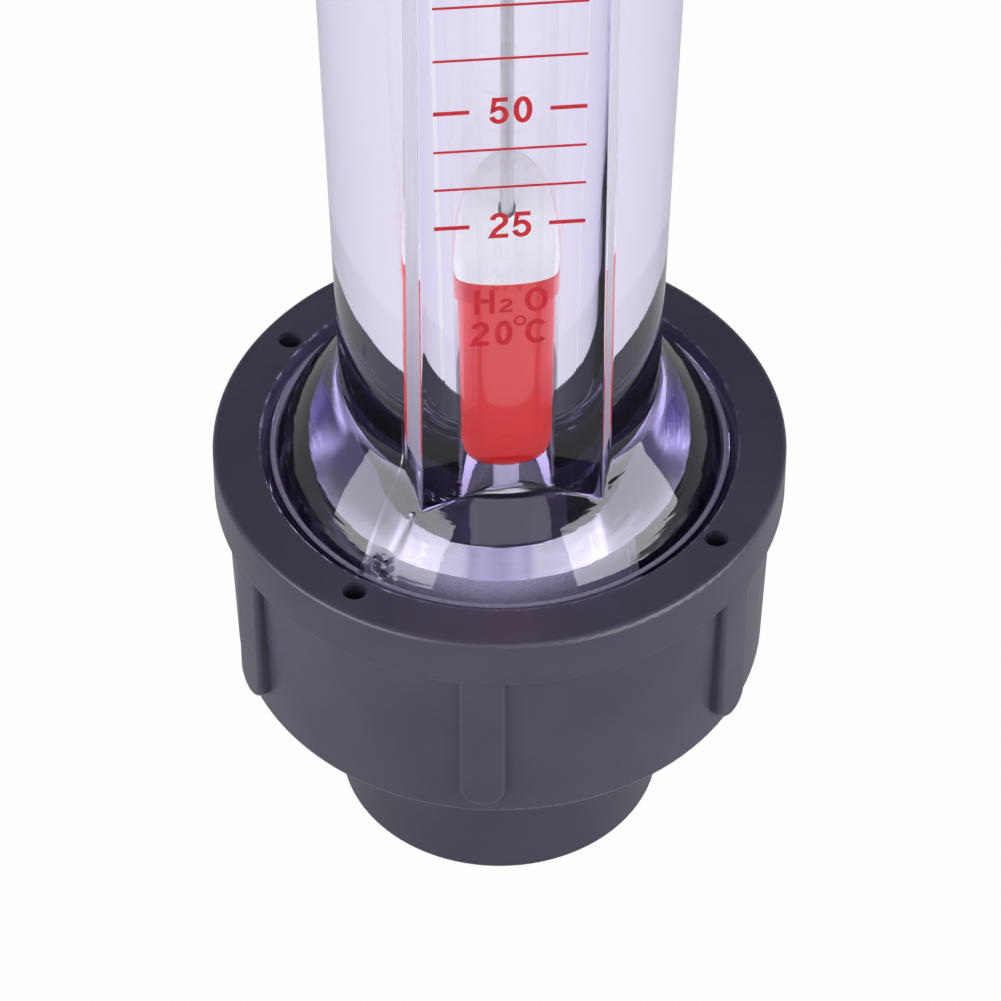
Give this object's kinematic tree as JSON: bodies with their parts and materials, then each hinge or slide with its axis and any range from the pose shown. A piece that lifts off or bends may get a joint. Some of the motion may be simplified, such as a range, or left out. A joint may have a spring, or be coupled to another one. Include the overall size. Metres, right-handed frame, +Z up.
{
  "type": "rotameter",
  "caption": "Upright flow meter: clear tapered tube with a scale panel, a red and white float on a guide rod, and screwed union socket ends for plastic pipe.",
  "frame": {"origin": "centre of the lower socket end's mouth, on the surface it stands on", "axes": "+Z up the tube in the direction of flow, -Y towards the scale panel's side, +X to the right of a reader"},
  "size_m": [0.045, 0.045, 0.222],
  "materials": {
    "clear_tube": "clear moulded plastic, gloss",
    "grey_pvc": "moulded PVC, soft gloss",
    "grey_pvc_nut": "moulded PVC, soft gloss",
    "float_red": "gloss",
    "float_white": "gloss",
    "float_weight": "turned",
    "steel_rod": "drawn stainless steel",
    "holder": "natural white moulding",
    "stop_sleeve": "frosted",
    "seal": "matt"
  },
  "bodies": {
    "meter": {"metering_tube": "clear_tube", "guide_rod": "steel_rod", "lower_float_stop": "stop_sleeve", "upper_float_stop": "stop_sleeve", "lower_rod_holder": "holder", "upper_rod_holder": "holder", "lower_rod_washer": "steel_rod", "upper_rod_washer": "steel_rod", "lower_rod_nut": "steel_rod", "upper_rod_nut": "steel_rod"},
    "float": {"float_body": "float_red", "float_cap": "float_white", "float_weight": "float_weight"},
    "lower_end": {"lower_socket_end": "grey_pvc", "lower_seal_ring": "seal"},
    "upper_end": {"upper_socket_end": "grey_pvc", "upper_seal_ring": "seal"},
    "lower_nut": {"lower_union_nut": "grey_pvc_nut"},
    "upper_nut": {"upper_union_nut": "grey_pvc_nut"}
  },
  "joints": [
    {"name": "float_slide", "type": "slide", "parent": "meter", "child": "float", "axis": [0, 0, 1], "range_m": [0, 0.1102]},
    {"name": "lower_end_slide", "type": "slide", "parent": "meter", "child": "lower_end", "axis": [0, 0, -1], "range_m": [0, 0.01125]},
    {"name": "lower_nut_turn", "type": "hinge", "parent": "lower_end", "child": "lower_nut", "pos_m": [0, 0, 0.026], "axis": [0, 0, -1], "range_deg": [0, 1620]},
    {"name": "upper_end_slide", "type": "slide", "parent": "meter", "child": "upper_end", "axis": [0, 0, 1], "range_m": [0, 0.01125]},
    {"name": "upper_nut_turn", "type": "hinge", "parent": "upper_end", "child": "upper_nut", "pos_m": [0, 0, 0.196], "axis": [0, 0, 1], "range_deg": [0, 1620]}
  ],
  "couplings": [
    {"joint": "lower_end_slide", "follows": "lower_nut_turn", "m_per_rad": 0.00039789},
    {"joint": "upper_end_slide", "follows": "upper_nut_turn", "m_per_rad": 0.00039789}
  ]
}
